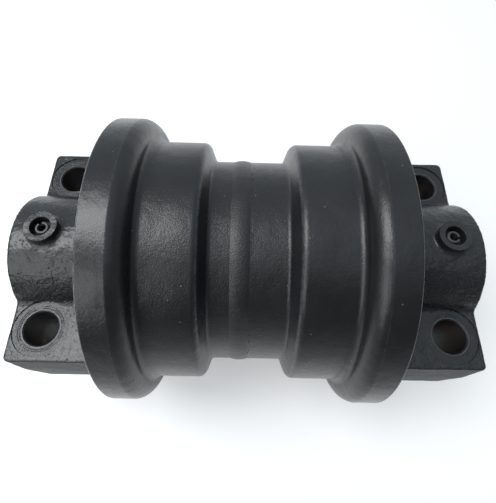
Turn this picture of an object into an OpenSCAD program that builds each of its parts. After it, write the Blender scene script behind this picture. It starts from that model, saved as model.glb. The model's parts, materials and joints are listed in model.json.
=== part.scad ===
// Double-flange track roller: a sealed, oil-filled roller that turns on a fixed axle between two
// bolt-on collars.
// The axle runs along Y through the origin, the bolt heads sit on the +Z side and the collars are
// fastened to a track frame on their -Z side. Right is +Y and left is -Y.

/* [Roller shell] */
// Diameter over the two flanges
flange_d = 188; // [184:1:196]
// Diameter of the treads that the chain rails run on
tread_d = 160; // [156:0.5:164]
// Diameter of the waist between the treads
waist_d = 136; // [132:0.5:142]
// Distance between the outer faces of the flanges
flange_span = 164; // [162:0.5:168]
// Width of the flat rim on each flange
rim_w = 14.4; // [12:0.2:17]
// Distance of each flange's inner wall from the middle of the roller
flange_wall_y = 59.6; // [57:0.2:61]
// Distance of each tread's inner edge from the middle of the roller
tread_in_y = 25.8; // [23:0.2:28]
// Offset of the weld seam from the middle of the roller
seam_y = -5; // [-8:0.5:8]
// Width of the weld bead
bead_w = 11; // [7:0.5:14]
// Height of the weld bead above the waist
bead_h = 1; // [0.5:0.1:2]

/* [Axle and bushings] */
// Diameter of the axle in the bushings
journal_d = 60; // [56:0.5:60]
// Diameter of the axle where it sits in the collars
seat_d = 56; // [50:0.5:56]
// Length of the axle
axle_len = 286; // [280:1:290]
// Outer diameter of the bushings
bushing_d = 70; // [68:0.5:72]
// Thickness of the thrust flange on each bushing
bushing_flange_t = 4; // [3:0.5:5]
// Running clearance between axle and bushing, on the radius
running_gap = 0.05; // [0.03:0.01:0.09]
// End float between each bushing flange and its collar
end_float = 0.3; // [0.2:0.05:0.5]

/* [Collars] */
// Distance between the outer end faces of the collars
collar_span = 291.4; // [290:0.2:296]
// Diameter of the round boss over the axle
boss_d = 84.6; // [80:0.2:88]
// Height of the ears' bolt seats side above the axle's centre
ear_top_z = 16.6; // [12:0.2:20]
// Distance of the mounting face below the axle's centre
mount_z = 40; // [38:0.5:44]
// Width over the two ears at their top
ear_top_w = 150.4; // [146:0.4:154]
// Width over the two ears at their foot
ear_foot_w = 155.2; // [155:0.2:160]
// Distance of the ears' inner ends from the middle of the roller
ear_in_y = 95; // [94:0.5:97]

/* [Bolt holes and lock pins] */
// Spacing of the bolt holes across the axle
bolt_dx = 110; // [106:0.5:112]
// Spacing of the bolt holes along the axle
bolt_dy = 254.4; // [250:0.2:255]
// Diameter of the bolt holes
bolt_hole_d = 21; // [17:0.5:22]
// Diameter of the machined seat round each bolt hole
seat_face_d = 34.8; // [30:0.2:35]
// Depth of the machined seats
seat_face_depth = 0.8; // [0.4:0.1:2]
// Distance of the lock pins from the middle of the roller
lock_pin_y = 125.4; // [123:0.2:127]
// Diameter of the lock pins
lock_pin_d = 8; // [6:1:10]
// Length of the lock pins
lock_pin_len = 80; // [76:1:82]
// Diameter of the small boss round each lock pin
pin_boss_d = 19.6; // [18:0.2:22]
// Height of the small boss's face above the axle's centre
pin_boss_z = 47; // [45.5:0.5:50]

/* [Hidden] */
$fn = 96;
// Overshoot of every cutting tool past the face that it opens
cut = 1;
// Depth that one shape reaches into the next where they join
overlap = 1;
// Gap left between pieces that are pressed or clamped together
seat_gap = 0.02;

flange_r = flange_d / 2;
tread_r = tread_d / 2;
waist_r = waist_d / 2;
flange_face_y = flange_span / 2;
rim_in_y = flange_face_y - rim_w;
// Convex shoulder that joins the rim to the flange's inner wall
shoulder_r = 10;
shoulder_y = flange_wall_y + shoulder_r;
shoulder_c = flange_r - sqrt(pow(shoulder_r, 2) - pow(shoulder_y - rim_in_y, 2));
// Concave fillet at the foot of the flange
flange_foot_r = 4;
// Lean of the wall between waist and tread, and the roundings at its ends
waist_side_lean = 3.2;
waist_y = tread_in_y - waist_side_lean;
waist_foot_r = 3;
tread_edge_r = 4.5;
waist_side_angle = atan(waist_side_lean / (tread_r - tread_edge_r - waist_r));
waist_foot_len = waist_foot_r * tan(45 - waist_side_angle / 2);
waist_foot_y = waist_y - waist_foot_len;
waist_foot_end = [waist_r, waist_y] + waist_foot_len * [cos(waist_side_angle), sin(waist_side_angle)];
rim_chamfer = 1;

// Oil space between the bushings
oil_space_r = 44;
oil_space_y = 24;
bushing_in_y = 27;
bushing_r = bushing_d / 2;
bushing_seat_y = 74;
bushing_out_y = bushing_seat_y + bushing_flange_t;
bushing_flange_r = 43;
// Land inside the shell that the bushing's flange rests on
seat_land_r = 44;

// Face seals: two metal rings meet at the seal plane, each on a rubber toric ring
seal_plane_y = 83.8;
seal_face_gap = 0.1;
seal_in_r = 45.5;
seal_lip_r = 53.5;
seal_lip_t = 2.2;
seal_neck_r = 50.4;
seal_neck_y = 4.6;
seal_tail_r = 48.8;
seal_len = 8.6;
toric_r = 3.2;
toric_c = 52.96;
toric_y = 6.9;
seal_bore_r = 56.2;
seal_bore_depth = 10.3;

// Collar hub that covers the static seal
hub_r = 61;
hub_in_y = 85.5;
hub_out_y = 96;
hub_cone_y = 105;
nose_r = 44.5;
nose_y = bushing_out_y + end_float;
boss_r = boss_d / 2;
collar_end_y = collar_span / 2;
boss_fillet_r = 4;
ear_corner_r = 3;
ear_draft_z = -8;
pad_relief_w = 66;
pad_relief_h = 2;
pin_boss_foot_r = 13.6;
pin_boss_foot_z = 39;
pin_boss_foot_h = 4.5;
counterbore_d = 12.4;
counterbore_depth = 6;
bolt_chamfer = 0.8;

journal_r = journal_d / 2;
seat_r = seat_d / 2;
shoulder_out_y = 97;
axle_end_y = axle_len / 2;
axle_chamfer = 1.5;
oring_y = 105;
oring_r = 1.38;
oring_groove_w = 4;
oring_groove_r = seat_r - 2.8;
pin_top_z = 45;
pin_wall = 1.5;
pin_slot_w = 2;

// Oil filling gallery, beside the lock pins, and the plug that closes it
gallery_x = 15;
gallery_r = 3;
plug_r = 6;
plug_len = 12;
plug_head_r = 9;
plug_head_t = 4;
plug_head_gap = 0.5;
plug_seal_t = 1.5;
plug_hex_r = 3.2;
plug_hex_depth = 7;
// Bore left free past the plug's tip
plug_bore_spare = 2;

shell_black = [0.23, 0.23, 0.24];
casting_black = [0.27, 0.27, 0.28];
machined_steel = [0.62, 0.62, 0.64];
pin_steel = [0.35, 0.35, 0.36];
bronze = [0.72, 0.52, 0.28];
seal_iron = [0.55, 0.56, 0.58];
rubber_black = [0.08, 0.08, 0.08];

// Turns a profile drawn as [radius, distance along Y] about the Y axis.
module turned() {
    rotate([-90, 0, 0])
        rotate_extrude()
            children();
}

// Draws right-hand children on the left side.
module on_left() {
    mirror([0, 1, 0])
        children();
}

// Outline of the roller shell's outside, from the middle to the right-hand end.
module shell_outside() {
    difference() {
        union() {
            square([waist_r, flange_face_y]);
            // Tread, with its rounded inner edge
            translate([0, tread_in_y + tread_edge_r])
                square([tread_r, flange_face_y - tread_in_y - tread_edge_r]);
            translate([tread_r - tread_edge_r, tread_in_y + tread_edge_r])
                circle(tread_edge_r);
            polygon([
                [0, waist_y],
                [waist_r, waist_y],
                [tread_r - tread_edge_r, tread_in_y],
                [tread_r - tread_edge_r, tread_in_y + tread_edge_r],
                [0, tread_in_y + tread_edge_r]
            ]);
            // Foot of the wall beside the waist
            difference() {
                polygon([
                    [waist_r - overlap, waist_foot_y],
                    [waist_r + waist_foot_r, waist_foot_y],
                    waist_foot_end,
                    waist_foot_end + [0, overlap],
                    [waist_r - overlap, waist_y]
                ]);
                translate([waist_r + waist_foot_r, waist_foot_y])
                    circle(waist_foot_r);
            }
            // Flange
            translate([0, shoulder_y])
                square([shoulder_c, flange_face_y - shoulder_y]);
            translate([0, flange_wall_y])
                square([shoulder_c, shoulder_r]);
            translate([0, rim_in_y])
                square([flange_r, rim_w]);
            intersection() {
                translate([shoulder_c, shoulder_y])
                    circle(shoulder_r);
                translate([0, flange_wall_y])
                    square([flange_r, rim_in_y - flange_wall_y]);
            }
            // Foot of the flange
            translate([tread_r, flange_wall_y - flange_foot_r])
                square([flange_foot_r, flange_foot_r]);
        }
        translate([tread_r + flange_foot_r, flange_wall_y - flange_foot_r])
            circle(flange_foot_r);
        polygon([
            [flange_r - rim_chamfer, flange_face_y + cut],
            [flange_r - rim_chamfer, flange_face_y],
            [flange_r, flange_face_y - rim_chamfer],
            [flange_r + cut, flange_face_y - rim_chamfer],
            [flange_r + cut, flange_face_y + cut]
        ]);
    }
}

// Outline of the space inside the roller shell, from the middle to the right-hand end.
module shell_inside() {
    square([oil_space_r, oil_space_y]);
    square([bushing_r + seat_gap, flange_face_y + cut]);
    translate([0, bushing_seat_y])
        square([seal_bore_r, flange_face_y + cut - bushing_seat_y]);
    translate([seat_land_r, seal_plane_y - seal_bore_depth])
        square([seal_bore_r - seat_land_r, seal_bore_depth]);
}

// Whole shell outline, cut to the part between y0 and y1.
module shell_profile(y0, y1) {
    intersection() {
        difference() {
            union() {
                shell_outside();
                mirror([0, 1])
                    shell_outside();
            }
            shell_inside();
            mirror([0, 1])
                shell_inside();
        }
        translate([0, y0])
            square([flange_r + cut, y1 - y0]);
    }
}

module roller_shell_left() {
    color(shell_black)
        turned()
            shell_profile(-flange_face_y, seam_y);
}

module roller_shell_right() {
    color(shell_black)
        turned()
            shell_profile(seam_y, flange_face_y);
}

// Low crowned band of weld metal round the waist.
module weld_bead() {
    bead_r = (pow(bead_w / 2, 2) + pow(bead_h, 2)) / (2 * bead_h);
    color(shell_black)
        turned()
            difference() {
                translate([waist_r + bead_h - bead_r, seam_y])
                    circle(bead_r);
                translate([-2 * bead_r, seam_y - 2 * bead_r])
                    square([waist_r + seat_gap + 2 * bead_r, 4 * bead_r]);
            }
}

module axle_shaft() {
    color(machined_steel)
        difference() {
            turned()
                difference() {
                    translate([0, -axle_end_y])
                        axle_outline();
                    for (side = [-1, 1])
                        translate([oring_groove_r, side * oring_y - oring_groove_w / 2])
                            square([journal_r, oring_groove_w]);
                }
            for (side = [-1, 1])
                translate([0, side * lock_pin_y, 0])
                    cylinder(d = lock_pin_d + 2 * seat_gap, h = 2 * journal_r, center = true);
            oil_gallery();
        }
}

// Half section of the axle, standing on the radius axis.
module axle_outline() {
    step_y = axle_end_y - shoulder_out_y;
    polygon([
        [0, 0],
        [seat_r - axle_chamfer, 0],
        [seat_r, axle_chamfer],
        [seat_r, step_y],
        [journal_r, step_y],
        [journal_r, axle_len - step_y],
        [seat_r, axle_len - step_y],
        [seat_r, axle_len - axle_chamfer],
        [seat_r - axle_chamfer, axle_len],
        [0, axle_len]
    ]);
}

// Long drilling from the left end to the oil space, its plug seat and its outlet.
module oil_gallery() {
    translate([gallery_x, -axle_end_y - cut, 0])
        rotate([-90, 0, 0])
            cylinder(r = gallery_r, h = axle_end_y + cut + gallery_r);
    translate([gallery_x, -axle_end_y - cut, 0])
        rotate([-90, 0, 0])
            cylinder(r = plug_r + seat_gap, h = plug_len + plug_head_t + cut + plug_bore_spare);
    translate([gallery_x, -axle_end_y - cut, 0])
        rotate([-90, 0, 0])
            cylinder(r = plug_head_r + plug_head_gap, h = plug_head_t + plug_seal_t + cut);
    translate([gallery_x, 0, 0])
        rotate([0, 90, 0])
            cylinder(r = gallery_r, h = journal_r);
}

module bushing_right() {
    color(bronze)
        turned()
            difference() {
                union() {
                    translate([0, bushing_in_y])
                        square([bushing_r, bushing_out_y - bushing_in_y]);
                    translate([0, bushing_seat_y + seat_gap])
                        square([bushing_flange_r, bushing_flange_t - seat_gap]);
                }
                translate([0, bushing_in_y - cut])
                    square([journal_r + running_gap, bushing_out_y - bushing_in_y + 2 * cut]);
            }
}

module bushing_left() {
    on_left()
        bushing_right();
}

// One metal face-seal ring, its face on the seal plane and its tail towards -Y.
module seal_ring() {
    color(seal_iron)
        turned()
            translate([0, -seal_face_gap])
                polygon([
                    [seal_in_r, 0],
                    [seal_lip_r, 0],
                    [seal_lip_r, -seal_lip_t],
                    [seal_neck_r, -seal_neck_y],
                    [seal_tail_r, -seal_len],
                    [seal_in_r, -seal_len]
                ]);
}

// The rubber ring that presses a seal ring towards the seal plane.
module toric() {
    color(rubber_black)
        turned()
            translate([toric_c, -toric_y])
                circle(toric_r);
}

// Places a seal half inside the right-hand end of the shell.
module rotating_side() {
    translate([0, seal_plane_y, 0])
        children();
}

// Places a seal half inside the right-hand collar.
module static_side() {
    translate([0, seal_plane_y, 0])
        mirror([0, 1, 0])
            children();
}

module seal_ring_rotating_right() {
    rotating_side()
        seal_ring();
}

module seal_ring_rotating_left() {
    on_left()
        rotating_side()
            seal_ring();
}

module seal_ring_static_right() {
    static_side()
        seal_ring();
}

module seal_ring_static_left() {
    on_left()
        static_side()
            seal_ring();
}

module toric_rotating_right() {
    rotating_side()
        toric();
}

module toric_rotating_left() {
    on_left()
        rotating_side()
            toric();
}

module toric_static_right() {
    static_side()
        toric();
}

module toric_static_left() {
    on_left()
        static_side()
            toric();
}

module shaft_oring_right() {
    color(rubber_black)
        turned()
            translate([oring_groove_r + oring_r + seat_gap, oring_y])
                circle(oring_r);
}

module shaft_oring_left() {
    on_left()
        shaft_oring_right();
}

// Cross-section of a collar, looking along the axle: boss, ears and the fillets between them.
module collar_section() {
    fillet_z = ear_top_z + boss_fillet_r;
    fillet_x = sqrt(pow(boss_r + boss_fillet_r, 2) - pow(fillet_z, 2));
    reach = boss_r / (boss_r + boss_fillet_r);
    intersection() {
        union() {
            circle(boss_r);
            polygon([
                [-ear_top_w / 2, ear_top_z],
                [ear_top_w / 2, ear_top_z],
                [ear_foot_w / 2, ear_draft_z],
                [ear_foot_w / 2, -mount_z],
                [-ear_foot_w / 2, -mount_z],
                [-ear_foot_w / 2, ear_draft_z]
            ]);
            for (side = [-1, 1])
                difference() {
                    polygon([
                        [0, 0],
                        [side * fillet_x * reach, fillet_z * reach],
                        [side * fillet_x, fillet_z],
                        [side * fillet_x, 0]
                    ]);
                    translate([side * fillet_x, fillet_z])
                        circle(boss_fillet_r);
                }
        }
        translate([-ear_foot_w, -mount_z])
            square([2 * ear_foot_w, mount_z + 2 * boss_r]);
    }
}

// Plan outline of a collar's ears, with rounded corners at the outer end.
module collar_plan() {
    half_w = ear_foot_w / 2;
    translate([-half_w, ear_in_y])
        square([ear_foot_w, collar_end_y - ear_in_y - ear_corner_r]);
    translate([-half_w + ear_corner_r, ear_in_y])
        square([ear_foot_w - 2 * ear_corner_r, collar_end_y - ear_in_y]);
    for (side = [-1, 1])
        translate([side * (half_w - ear_corner_r), collar_end_y - ear_corner_r])
            circle(ear_corner_r);
}

// Hub that reaches over the static seal towards the flange.
module collar_hub() {
    turned()
        polygon([
            [0, hub_in_y],
            [hub_r, hub_in_y],
            [hub_r, hub_out_y],
            [boss_r, hub_cone_y],
            [0, hub_cone_y]
        ]);
}

// Small round boss with the lock pin's hole.
module pin_boss() {
    translate([0, lock_pin_y, 0]) {
        cylinder(d = pin_boss_d, h = pin_boss_z);
        translate([0, 0, pin_boss_foot_z])
            cylinder(r1 = pin_boss_foot_r, r2 = pin_boss_d / 2, h = pin_boss_foot_h);
    }
}

// Everything that is drilled or turned out of a collar.
module collar_openings() {
    turned()
        union() {
            translate([0, hub_in_y - 2 * cut])
                square([seat_r + seat_gap, collar_span]);
            translate([0, nose_y - cut])
                square([journal_r + seat_gap, shoulder_out_y + seat_gap - nose_y + cut]);
            translate([nose_r, hub_in_y - cut])
                square([seal_bore_r - nose_r, seal_plane_y + seal_bore_depth - hub_in_y + cut]);
        }
    translate([0, lock_pin_y, -mount_z - cut])
        cylinder(d = lock_pin_d + 2 * seat_gap, h = mount_z + pin_boss_z + 2 * cut);
    translate([0, lock_pin_y, pin_boss_z - counterbore_depth])
        cylinder(d = counterbore_d, h = counterbore_depth + cut);
    for (side = [-1, 1])
        translate([side * bolt_dx / 2, bolt_dy / 2, 0]) {
            translate([0, 0, -mount_z - cut])
                cylinder(d = bolt_hole_d, h = mount_z + ear_top_z + 2 * cut);
            translate([0, 0, ear_top_z - seat_face_depth])
                cylinder(d = seat_face_d, h = boss_r);
            translate([0, 0, ear_top_z - seat_face_depth - bolt_chamfer])
                cylinder(d1 = bolt_hole_d, d2 = bolt_hole_d + 2 * bolt_chamfer, h = bolt_chamfer);
        }
    translate([-pad_relief_w / 2, ear_in_y - cut, -mount_z - cut])
        cube([pad_relief_w, collar_end_y - ear_in_y + 2 * cut, pad_relief_h + cut]);
}

module collar_right() {
    color(casting_black)
        difference() {
            union() {
                intersection() {
                    translate([0, ear_in_y, 0])
                        rotate([90, 0, 0])
                            mirror([0, 0, 1])
                                linear_extrude(collar_end_y - ear_in_y)
                                    collar_section();
                    translate([0, 0, -mount_z - cut])
                        linear_extrude(mount_z + boss_r + 2 * cut)
                            collar_plan();
                }
                collar_hub();
                turned()
                    translate([0, nose_y])
                        square([nose_r, hub_out_y - nose_y]);
                pin_boss();
            }
            collar_openings();
        }
}

module collar_left() {
    on_left()
        collar_right();
}

// Slotted spring pin, standing through the collar and the axle.
module lock_pin_right() {
    color(pin_steel)
        translate([0, lock_pin_y, pin_top_z - lock_pin_len])
            linear_extrude(lock_pin_len)
                difference() {
                    circle(d = lock_pin_d);
                    circle(d = lock_pin_d - 2 * pin_wall);
                    translate([-lock_pin_d, -pin_slot_w / 2])
                        square([lock_pin_d, pin_slot_w]);
                }
}

module lock_pin_left() {
    on_left()
        lock_pin_right();
}

// Socket-head plug in the left end of the axle.
module oil_plug() {
    color(pin_steel)
        translate([gallery_x, -axle_end_y, 0])
            rotate([-90, 0, 0])
                difference() {
                    union() {
                        cylinder(r = plug_head_r, h = plug_head_t);
                        cylinder(r = plug_r, h = plug_head_t + plug_len);
                    }
                    translate([0, 0, -cut])
                        cylinder(r = plug_hex_r, h = plug_hex_depth + cut, $fn = 6);
                }
}

module oil_plug_seal() {
    color(rubber_black)
        translate([gallery_x, -axle_end_y + plug_head_t, 0])
            rotate([-90, 0, 0])
                difference() {
                    cylinder(r = plug_head_r, h = plug_seal_t);
                    translate([0, 0, -cut])
                        cylinder(r = plug_r + seat_gap, h = plug_seal_t + 2 * cut);
                }
}

roller_shell_left();
roller_shell_right();
weld_bead();
axle_shaft();
bushing_left();
bushing_right();
seal_ring_rotating_left();
seal_ring_rotating_right();
seal_ring_static_left();
seal_ring_static_right();
toric_rotating_left();
toric_rotating_right();
toric_static_left();
toric_static_right();
shaft_oring_left();
shaft_oring_right();
collar_left();
collar_right();
lock_pin_left();
lock_pin_right();
oil_plug();
oil_plug_seal();
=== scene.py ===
import json
import math
import random

import bmesh
import bpy
from bpy.props import FloatProperty, FloatVectorProperty, IntProperty, PointerProperty
from mathutils import Matrix, Vector, noise


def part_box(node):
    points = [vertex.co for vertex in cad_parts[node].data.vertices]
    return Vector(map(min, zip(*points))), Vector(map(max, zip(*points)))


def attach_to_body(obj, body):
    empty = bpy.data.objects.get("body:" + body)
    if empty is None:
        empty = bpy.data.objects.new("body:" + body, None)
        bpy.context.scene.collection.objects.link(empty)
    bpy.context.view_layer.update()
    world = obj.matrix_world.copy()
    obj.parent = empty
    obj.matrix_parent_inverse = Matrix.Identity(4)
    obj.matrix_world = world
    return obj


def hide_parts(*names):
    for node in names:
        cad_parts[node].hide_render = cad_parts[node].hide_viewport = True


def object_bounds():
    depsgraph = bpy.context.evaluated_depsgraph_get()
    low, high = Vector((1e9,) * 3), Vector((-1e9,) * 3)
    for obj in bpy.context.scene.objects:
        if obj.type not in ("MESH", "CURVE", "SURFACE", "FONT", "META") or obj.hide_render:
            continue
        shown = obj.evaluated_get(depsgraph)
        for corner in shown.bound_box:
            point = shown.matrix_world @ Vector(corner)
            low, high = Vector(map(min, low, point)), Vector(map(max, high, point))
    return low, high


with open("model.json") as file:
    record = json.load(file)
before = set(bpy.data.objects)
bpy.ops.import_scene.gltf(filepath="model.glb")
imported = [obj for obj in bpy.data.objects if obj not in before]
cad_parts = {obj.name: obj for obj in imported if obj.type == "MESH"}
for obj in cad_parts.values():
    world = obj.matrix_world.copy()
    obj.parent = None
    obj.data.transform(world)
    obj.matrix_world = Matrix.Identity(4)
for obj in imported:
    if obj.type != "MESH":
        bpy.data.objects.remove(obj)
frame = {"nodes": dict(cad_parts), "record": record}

bl_info = {
    "name": "Track roller",
    "version": (1, 0, 0),
    "blender": (4, 5, 0),
    "location": "3D View > Sidebar > Track roller",
    "description": "Builds the visible pieces of a double-flange track roller around its packed model",
    "category": "Object",
}

MM = 0.001
CAD_BOX = [list(corner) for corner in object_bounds()]
# The frame's flat materials, whose names a finish here must not take
PLAIN_FINISHES = frozenset(bpy.data.materials.keys())
SHELL_LOW, SHELL_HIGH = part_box("roller_shell_right")
COLLAR_LOW, COLLAR_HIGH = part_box("collar_right")
BEAD_LOW, BEAD_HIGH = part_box("weld_bead")
PIN_LOW, PIN_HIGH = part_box("lock_pin_right")
PLUG_LOW, PLUG_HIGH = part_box("oil_plug")
MOUNTS = {mount["name"]: mount for mount in frame["record"]["mounts"]}
BOLTS = MOUNTS["frame_bolts"]["dims"]

RIGHT = 1
LEFT = -1
SIDE_NAMES = {RIGHT: "right", LEFT: "left"}

# Slots of a collar's mesh, in the order in which its materials are added
CAST = 0
SEAT = 1
BORE = 2
FACED = 3

# Steps round a full turn
BEAD_STEPS = 540
HUB_STEPS = 160
BORE_STEPS = 144
BOLT_HOLE_STEPS = 96
PIN_BOSS_STEPS = 72
PIN_STEPS = 64

# Edges sharper than these stay sharp
SHARP = math.radians(30)
SHARP_TURNED = math.radians(32)
SHARP_BEAD = math.radians(50)
SHARP_CAST = math.radians(62)

PAINT_IOR = 1.5
RUBBER_IOR = 1.52
# Distance from the middle beyond which only the axle's end faces lie
AXLE_END = 141 * MM
SENSOR_WIDTH = 36
FLOOR_HALF = 6


def size(label, text, default):
    """A length in metres."""
    return FloatProperty(
        name=label, description=text, default=default, min=0, unit="LENGTH", subtype="DISTANCE")


def place(label, text, default):
    """A signed position in metres."""
    return FloatProperty(name=label, description=text, default=default, unit="LENGTH", subtype="DISTANCE")


def colour(label, text, default):
    """A linear colour."""
    return FloatVectorProperty(
        name=label, description=text, default=default, subtype="COLOR", min=0, max=1, size=3)


def amount(label, text, default, highest=1):
    """A plain factor."""
    return FloatProperty(name=label, description=text, default=default, min=0, max=highest, subtype="FACTOR")


def angle(label, text, degrees):
    """An angle, given in degrees."""
    return FloatProperty(name=label, description=text, default=math.radians(degrees), subtype="ANGLE")


def watts(label, text, default):
    """A light's power."""
    return FloatProperty(name=label, description=text, default=default, min=0, unit="POWER")


def toward(label, text, default):
    """A direction, of any length."""
    return FloatVectorProperty(name=label, description=text, default=default, size=3, subtype="DIRECTION")


class ShellSizes(bpy.types.PropertyGroup):
    """Sizes of the two shell halves and of the weld bead that joins them"""

    flange_radius: size("Flange radius", "Radius of the rims of both flanges", SHELL_HIGH.z)
    flange_face: size("Flange face", "Distance of each flange's outer face from the middle", SHELL_HIGH.y)
    rim_width: size("Rim width", "Width of the flat rim on each flange", 14.4 * MM)
    flange_wall: size("Flange wall", "Distance of each flange's inner wall from the middle", 59.6 * MM)
    shoulder_radius: size("Shoulder radius", "Rounding between a rim and the flange's inner wall", 10 * MM)
    flange_foot: size("Flange foot", "Fillet between a flange and its tread", 4 * MM)
    tread_radius: size("Tread radius", "Radius that the chain rails run on", MOUNTS["left_tread"]["pos_m"][2])
    tread_inner: size("Tread inner edge", "Distance of each tread's inner edge from the middle", 25.8 * MM)
    tread_edge: size("Tread edge rounding", "Rounding of each tread's inner edge", 4.5 * MM)
    waist_radius: size("Waist radius", "Radius of the waist between the treads", 68 * MM)
    waist_lean: size("Waist wall lean", "How far the wall beside the waist leans outward", 3.2 * MM)
    waist_foot: size("Waist foot", "Fillet between the waist and the wall beside it", 3 * MM)
    seam: place("Weld seam", "Offset of the weld seam from the middle", SHELL_LOW.y)
    bead_width: size("Bead width", "Width of the weld bead", BEAD_HIGH.y - BEAD_LOW.y)
    bead_top: size("Bead top", "Radius over the weld bead's crown", BEAD_HIGH.z)
    seal_bore: size("Seal bore radius", "Radius of the recess for the face seal", 56.2 * MM)
    seal_shelf: size("Seal shelf", "Distance of the seal recess's floor from the middle", 73.5 * MM)
    bushing_bore: size("Bushing bore radius", "Radius of the bore for the bushings", 35.02 * MM)
    bushing_land: size("Bushing land", "Distance of the face under the bushing's flange", 74 * MM)
    oil_radius: size("Oil space radius", "Radius of the oil space and of the seal recess's land", 44 * MM)
    oil_half: size("Oil space half length", "Distance of the oil space's end from the middle", 24 * MM)
    steps: IntProperty(name="Steps round", description="Steps of a full turn", default=224, min=48, max=512)


class CollarSizes(bpy.types.PropertyGroup):
    """Sizes of the two cast collars"""

    end: size("Collar end", "Distance of each collar's outer face from the middle", COLLAR_HIGH.y)
    nose: size("Nose end", "Distance of each collar's inner end from the middle", COLLAR_LOW.y)
    ear_start: size("Ear start", "Distance of the ears' inner ends from the middle", 95 * MM)
    boss_radius: size("Boss radius", "Radius of the round boss over the axle", 42.3 * MM)
    boss_fillet: size("Boss fillet", "Fillet between the boss and the ears", 4 * MM)
    ear_top: size("Ear top", "Height of the ears above the axle's centre", 16.6 * MM)
    ear_half_top: size("Ear half width at the top", "Half the width over the ears at their top", 75.2 * MM)
    ear_half_foot: size(
        "Ear half width at the foot", "Half the width over the ears at their foot", COLLAR_HIGH.x)
    draft_foot: place("Draft foot", "Height at which the casting's draft ends", -8 * MM)
    mount_face: place("Mounting face", "Height of the mounting face", MOUNTS["frame_bolts"]["pos_m"][2])
    relief_half: size("Relief half width", "Half the width of the relief in the mounting face", 33 * MM)
    relief_depth: size("Relief depth", "Depth of the relief in the mounting face", 2 * MM)
    corner: size("Ear corner", "Rounding of the ears' outer corners", 3 * MM)
    hub_radius: size("Hub radius", "Radius of the hub over the static seal", 61 * MM)
    hub_start: size("Hub start", "Distance of the hub's inner face from the middle", 85.5 * MM)
    hub_end: size("Hub end", "Distance at which the hub's cone begins", 96 * MM)
    cone_end: size("Cone end", "Distance at which the hub's cone meets the boss", 105 * MM)
    nose_radius: size("Nose radius", "Radius of the nose that the bushing's flange runs against", 44.5 * MM)
    bolt_across: size(
        "Bolt hole across", "Distance of the bolt holes from the axle", BOLTS["spacing_x_mm"] / 2 * MM)
    bolt_along: size(
        "Bolt hole along", "Distance of the bolt holes from the middle", BOLTS["spacing_y_mm"] / 2 * MM)
    bolt_radius: size("Bolt hole radius", "Radius of the bolt holes", BOLTS["hole_r_mm"] * MM)
    seat_radius: size("Seat radius", "Radius of the machined seats round the bolt holes", 17.4 * MM)
    seat_depth: size("Seat depth", "Depth of the machined seats", 0.8 * MM)
    hole_chamfer: size("Hole chamfer", "Chamfer at the mouth of each bolt hole", 0.8 * MM)
    pin_boss_radius: size("Pin boss radius", "Radius of the small boss round the lock pin", 9.8 * MM)
    pin_boss_top: size("Pin boss top", "Height of the small boss's face", 47 * MM)
    counterbore: size("Counterbore radius", "Radius of the recess over the lock pin", 6.2 * MM)
    counterbore_depth: size("Counterbore depth", "Depth of the recess over the lock pin", 6 * MM)
    axle_bore: size("Axle bore radius", "Radius of the bore for the axle's end", 28.02 * MM)
    journal_bore: size("Journal bore radius", "Radius of the bore for the axle's journal", 30.02 * MM)
    journal_end: size("Journal bore end", "Distance at which the journal's bore ends", 97.02 * MM)
    seal_bore: size("Seal bore radius", "Radius of the recess for the static seal", 56.2 * MM)
    seal_depth: size("Seal recess end", "Distance at which the seal's recess ends", 94.1 * MM)
    voxel: size("Casting grain", "Size of the cells that blend the casting into one skin", 0.95 * MM)


class PinSizes(bpy.types.PropertyGroup):
    """Sizes of the lock pins and of the oil plug"""

    along: size("Pin along", "Distance of the lock pins from the middle", (PIN_LOW.y + PIN_HIGH.y) / 2)
    radius: size("Pin radius", "Radius of the lock pins", (PIN_HIGH.y - PIN_LOW.y) / 2)
    wall: size("Pin wall", "Wall of the lock pins", 1.5 * MM)
    slot: size("Pin slot", "Width of the slot along each lock pin", 2 * MM)
    low: place("Pin foot", "Height of the lock pins' lower ends", PIN_LOW.z)
    high: place("Pin top", "Height of the lock pins' upper ends", PIN_HIGH.z)
    left_slot: angle("Left slot direction", "Direction of the left pin's slot", 207)
    right_slot: angle("Right slot direction", "Direction of the right pin's slot", 75)
    plug_across: size(
        "Plug across", "Distance of the oil plug from the axle's centre", (PLUG_LOW.x + PLUG_HIGH.x) / 2)
    plug_face: place("Plug face", "Position of the oil plug's outer face", PLUG_LOW.y)
    plug_end: place("Plug end", "Position of the oil plug's inner end", PLUG_HIGH.y)
    plug_head: size("Plug head radius", "Radius of the oil plug's head", (PLUG_HIGH.x - PLUG_LOW.x) / 2)
    plug_head_depth: size("Plug head depth", "Thickness of the oil plug's head", 4 * MM)
    plug_shank: size("Plug shank radius", "Radius of the oil plug's shank", 6 * MM)
    plug_hex: size("Plug hexagon", "Radius over the corners of the plug's socket", 3.2 * MM)
    plug_hex_depth: size("Plug socket depth", "Depth of the plug's socket", 7 * MM)


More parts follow.
